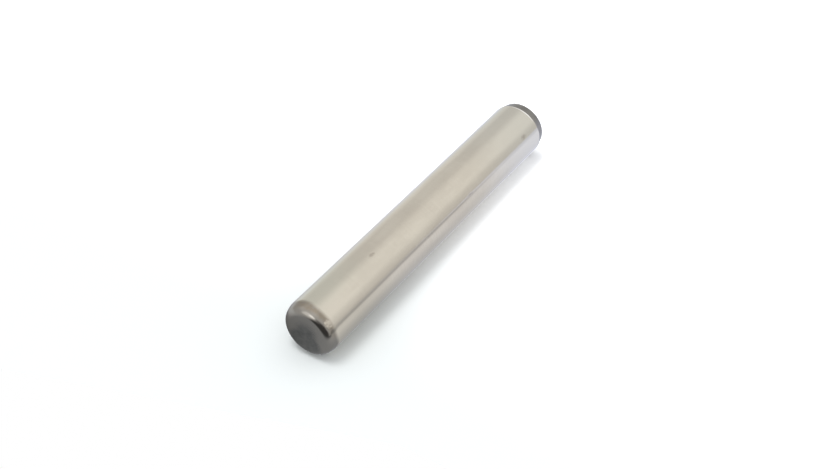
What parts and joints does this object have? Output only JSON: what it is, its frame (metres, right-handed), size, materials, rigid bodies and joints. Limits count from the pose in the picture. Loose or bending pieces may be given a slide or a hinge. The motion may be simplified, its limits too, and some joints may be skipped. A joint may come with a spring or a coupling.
{
  "type": "lock pin",
  "caption": "Plain hardened steel lock pin with a ground cylindrical shank, a rounded end and a tapered lead end, pressed into a reamed hole to hold two parts in line.",
  "frame": {"origin": "centre of the flat on the rounded end, which the pin stands on", "axes": "+Z along the pin's axis, from the rounded end up to the lead end; X and Y are free, as the pin is round"},
  "size_m": [0.006, 0.006, 0.04],
  "materials": {
    "ground_steel": "shank ground bright with fine lines round it, both ends left dark grey from hardening"
  },
  "bodies": {
    "root": {"lock_pin": "ground_steel"}
  },
  "joints": []
}
